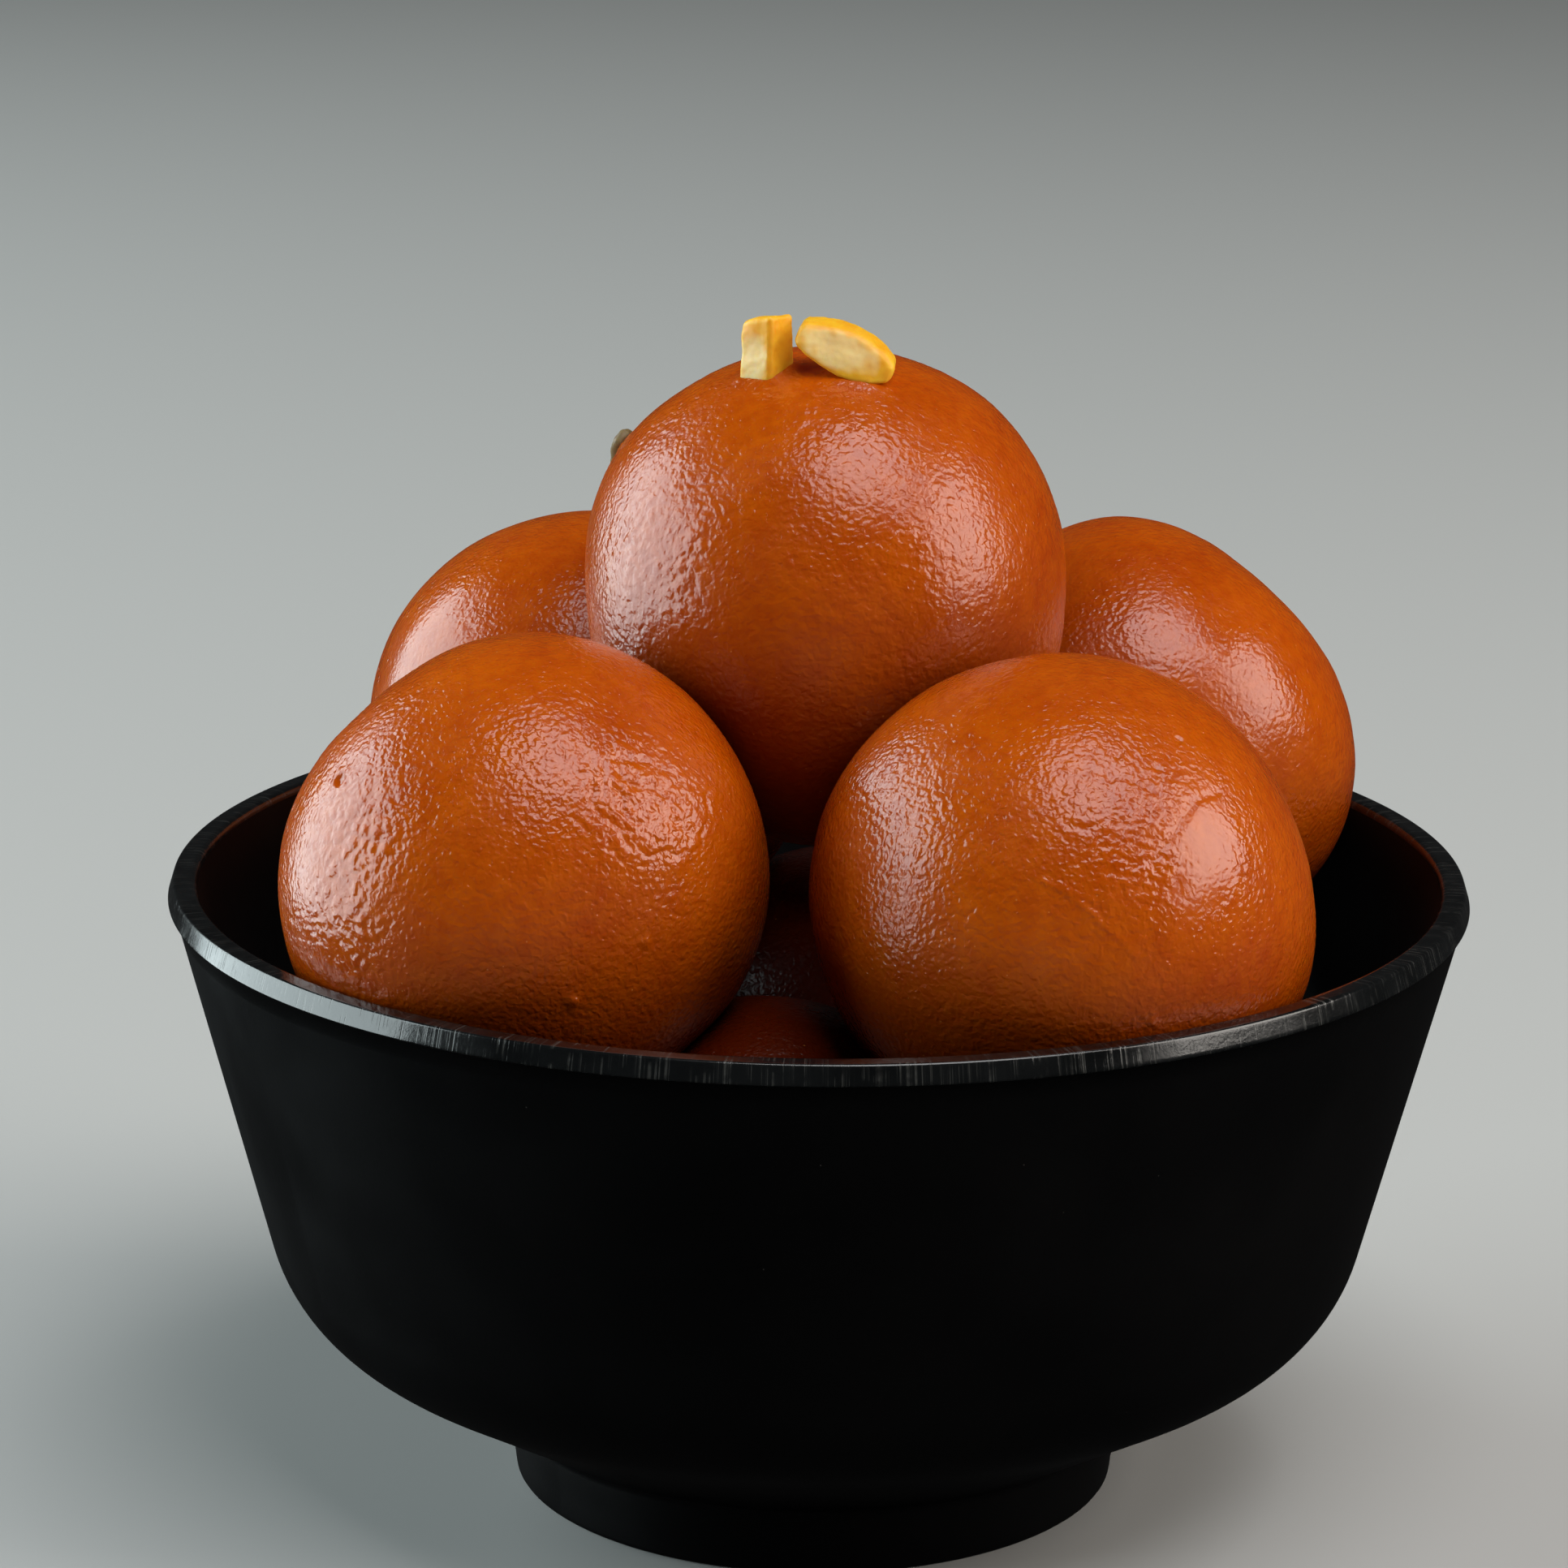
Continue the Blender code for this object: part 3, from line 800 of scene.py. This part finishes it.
def jamun_skin(name, groups, shine):
    """Fried dough soaked in syrup: amber to red-brown, finely wrinkled and wet, with painted shade and painted
    glints in its colour.
    """
    material, tree, shader, where = new_material(name)
    taut = read(tree, "taut")
    mottle = groups["mottle"]
    wide = placed(tree, mottle, Vector=where, Size=11 * MM, First=SKIN_BROWN, Second=SKIN_AMBER)
    fine = placed(tree, mottle, Vector=where, Size=1.3 * MM, First=BLOTCH_BROWN, Second=BLOTCH_AMBER)
    colour = blend(tree, 0.4, wide, fine)
    # Painted shade, partly syrup stain: darker where balls meet and low in the bowl
    shade_and_soak = read(tree, "shade_and_soak")
    colour = blend(tree, shade_and_soak, colour, STAINED_AND_SHADED_SKIN)
    colour = blend(tree, combined(tree, "POWER", shade_and_soak, 2.0), colour, SOAKED_AND_SHADED_SKIN)
    # Painted glints: small pale flecks mixed into the skin's colour
    flecks = placed(tree, groups["flecks"], Vector=where, Size=0.16 * MM, Share=0.10)
    pale = combined(tree, "MULTIPLY", flecks, 0.35)
    colour = blend(tree, pale, colour, SKIN_PAINTED_GLINT)
    tree.links.new(colour, shader.inputs["Base Color"])
    gloss = placed(tree, groups["gloss"], Vector=where, Size=6 * MM, Low=0.17, High=0.26)
    dulled = combined(tree, "ADD", gloss, spread_over(tree, shade_and_soak, 0.8, 1.0, 0.0, 0.12))
    tree.links.new(dulled, shader.inputs["Roughness"])
    grain = placed(tree, groups["grain"], Vector=where, Size=0.46 * MM, Pits=0.2, Detail=0.5)
    calm = spread_over(tree, taut, 0.0, 1.0, 1.0, 0.3)
    bump(tree, shader, combined(tree, "MULTIPLY", grain, calm), 0.125 * MM)
    shader.inputs["Subsurface Weight"].default_value = 0.25
    shader.inputs["Subsurface Radius"].default_value = (1.0, 0.30, 0.06)
    shader.inputs["Subsurface Scale"].default_value = 2.5 * MM
    shader.inputs["IOR"].default_value = 1.51
    shader.inputs["Specular IOR Level"].default_value = shine
    return material


def bowl_glaze(groups):
    """Satin black glaze with faint clouds and a few specks of dust."""
    material, tree, shader, where = new_material("bowl_black_satin")
    ground = placed(tree, groups["mottle"], Vector=where, Size=20 * MM, First=GLAZE_BLACK, Second=GLAZE_CLOUD)
    dust = placed(tree, groups["flecks"], Vector=where, Size=0.14 * MM, Share=0.006)
    colour = blend(tree, combined(tree, "MULTIPLY", dust, 0.5), ground, DUST)
    tree.links.new(colour, shader.inputs["Base Color"])
    gloss = placed(tree, groups["gloss"], Vector=where, Size=14 * MM, Low=0.42, High=0.52)
    tree.links.new(gloss, shader.inputs["Roughness"])
    grain = placed(tree, groups["grain"], Vector=where, Size=0.5 * MM, Pits=0.1)
    bump(tree, shader, grain, 0.010 * MM)
    shader.inputs["Specular IOR Level"].default_value = 0.16
    return material


def worn_lip(groups):
    """The lip's glaze, rubbed greyer and glossier, with fine scratches across it."""
    material, tree, shader, where = new_material("bowl_lip_worn")
    flatten = tree.nodes.new("ShaderNodeVectorMath")
    flatten.operation = "MULTIPLY"
    tree.links.new(where, flatten.inputs[0])
    flatten.inputs[1].default_value = (1.0, 1.0, 0.0)
    spoke = tree.nodes.new("ShaderNodeVectorMath")
    spoke.operation = "NORMALIZE"
    tree.links.new(flatten.outputs[0], spoke.inputs[0])
    lines = waves(tree, spoke.outputs[0], 0.005, detail=3.0, roughness=0.7)
    scratches = spread_over(tree, lines, 0.53, 0.68)
    breaks = spread_over(tree, waves(tree, where, 1.5 * MM), 0.40, 0.62)
    scratches = combined(tree, "MULTIPLY", scratches, breaks)
    ground = placed(tree, groups["mottle"], Vector=where, Size=6 * MM, First=LIP_BLACK, Second=LIP_RUBBED)
    colour = blend(tree, combined(tree, "MULTIPLY", scratches, 0.4), ground, LIP_SCRATCH)
    tree.links.new(colour, shader.inputs["Base Color"])
    gloss = placed(tree, groups["gloss"], Vector=where, Size=5 * MM, Low=0.13, High=0.20)
    tree.links.new(gloss, shader.inputs["Roughness"])
    grain = placed(tree, groups["grain"], Vector=where, Size=0.5 * MM, Pits=0.1)
    rubbed = combined(tree, "SUBTRACT", grain, combined(tree, "MULTIPLY", scratches, 0.8))
    bump(tree, shader, rubbed, 0.012 * MM)
    shader.inputs["IOR"].default_value = 1.60
    return material


def cut_nut(nut, groups):
    """A cut nut soaked in syrup: a pale core, stained round it and deeper along some edges."""
    material, tree, shader, where = new_material(nut.material)
    rim = placed(tree, groups["mottle"], Vector=where, Size=1.4 * MM, First=nut.deep, Second=nut.stained)
    paler = placed(tree, groups["mottle"], Vector=where, Size=0.7 * MM, First=nut.stained, Second=nut.core)
    middle = blend(tree, 0.85, paler, nut.core)
    colour = blend(tree, read(tree, "core"), rim, middle)
    tree.links.new(colour, shader.inputs["Base Color"])
    gloss = placed(tree, groups["gloss"], Vector=where, Size=1.5 * MM, Low=0.40, High=0.55)
    tree.links.new(gloss, shader.inputs["Roughness"])
    grain = placed(tree, groups["grain"], Vector=where, Size=NUT_GRAIN, Pits=0.2)
    bump(tree, shader, grain, 0.015 * MM)
    shader.inputs["Subsurface Weight"].default_value = 0.5
    shader.inputs["Subsurface Radius"].default_value = (1.0, 0.6, 0.15)
    shader.inputs["Subsurface Scale"].default_value = 1.6 * MM
    return material


# ---------------------------------------------------------------- room


def build_floor():
    mesh = bpy.data.meshes.new("floor")
    bm = bmesh.new()
    bmesh.ops.create_circle(bm, cap_ends=True, radius=6.0, segments=128)
    bm.to_mesh(mesh)
    bm.free()
    floor = bpy.data.objects.new("floor", mesh)
    bpy.context.scene.collection.objects.link(floor)
    material = bpy.data.materials.new("floor_pale")
    material.use_nodes = True
    shader = material.node_tree.nodes["Principled BSDF"]
    shader.inputs["Base Color"].default_value = FLOOR_GREY
    shader.inputs["Roughness"].default_value = 0.75
    mesh.materials.append(material)
    floor.visible_glossy = False  # the black glaze would mirror it


def add_softbox(softbox):
    """A flat soft light that faces the bowl's rim."""
    light = bpy.data.lights.new(softbox.name, "AREA")
    light.color = softbox.colour
    light.shape = "RECTANGLE"
    light.size = softbox.width
    light.size_y = softbox.height
    light.energy = softbox.radiance * math.pi * softbox.width * softbox.height
    lamp = bpy.data.objects.new(softbox.name, light)
    aim = Vector((0, 0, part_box("bowl")[1].z))
    heading = Vector(way(softbox.azimuth, softbox.elevation))
    lamp.location = aim + heading * SOFTBOX_DISTANCE
    lamp.rotation_euler = heading.to_track_quat("Z", "Y").to_euler()
    lamp.visible_camera = False
    bpy.context.scene.collection.objects.link(lamp)


def set_world():
    world = bpy.data.worlds.new("room")
    world.use_nodes = True
    sky = world.node_tree.nodes["Background"]
    sky.inputs["Color"].default_value = ROOM_COLOUR
    sky.inputs["Strength"].default_value = ROOM_STRENGTH
    bpy.context.scene.world = world


def add_camera():
    lens = bpy.data.cameras.new("camera")
    lens.lens = LENS
    lens.sensor_width = FRAME_WIDTH
    lens.clip_start = 0.01
    camera = bpy.data.objects.new("camera", lens)
    tilt = Matrix.Rotation(math.radians(90 - CAMERA_DIP), 4, "X")
    roll = Matrix.Rotation(math.radians(CAMERA_ROLL), 4, "Z")
    camera.matrix_world = Matrix.Translation(CAMERA_PLACE) @ tilt @ roll
    bpy.context.scene.collection.objects.link(camera)
    bpy.context.scene.camera = camera


# ---------------------------------------------------------------- the whole

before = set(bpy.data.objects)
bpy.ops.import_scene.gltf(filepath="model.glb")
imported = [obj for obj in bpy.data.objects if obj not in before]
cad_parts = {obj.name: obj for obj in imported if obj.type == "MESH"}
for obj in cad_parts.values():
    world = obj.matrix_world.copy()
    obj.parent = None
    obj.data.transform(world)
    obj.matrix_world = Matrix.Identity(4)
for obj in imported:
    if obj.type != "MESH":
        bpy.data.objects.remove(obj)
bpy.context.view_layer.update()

GROUPS = {"mottle": mottle_group(), "grain": grain_group(), "gloss": gloss_group(), "flecks": fleck_group()}

build_bowl(bowl_glaze(GROUPS), worn_lip(GROUPS))
wet_skin = jamun_skin("jamun_skin_wet", GROUPS, 0.5)
low_skin = jamun_skin("jamun_skin_low", GROUPS, LOW_SHINE)
for number, ball in enumerate(BALLS):
    build_jamun(ball, number, low_skin if "low" in ball.node else wet_skin)
nut_materials = {slot: cut_nut(nut, GROUPS) for slot, nut in NUTS.items()}
for sliver in SLIVERS:
    build_sliver(sliver, nut_materials[sliver.slot])

build_floor()
for softbox in SOFTBOXES:
    add_softbox(softbox)
set_world()
add_camera()
bpy.context.scene.view_settings.view_transform = "Standard"
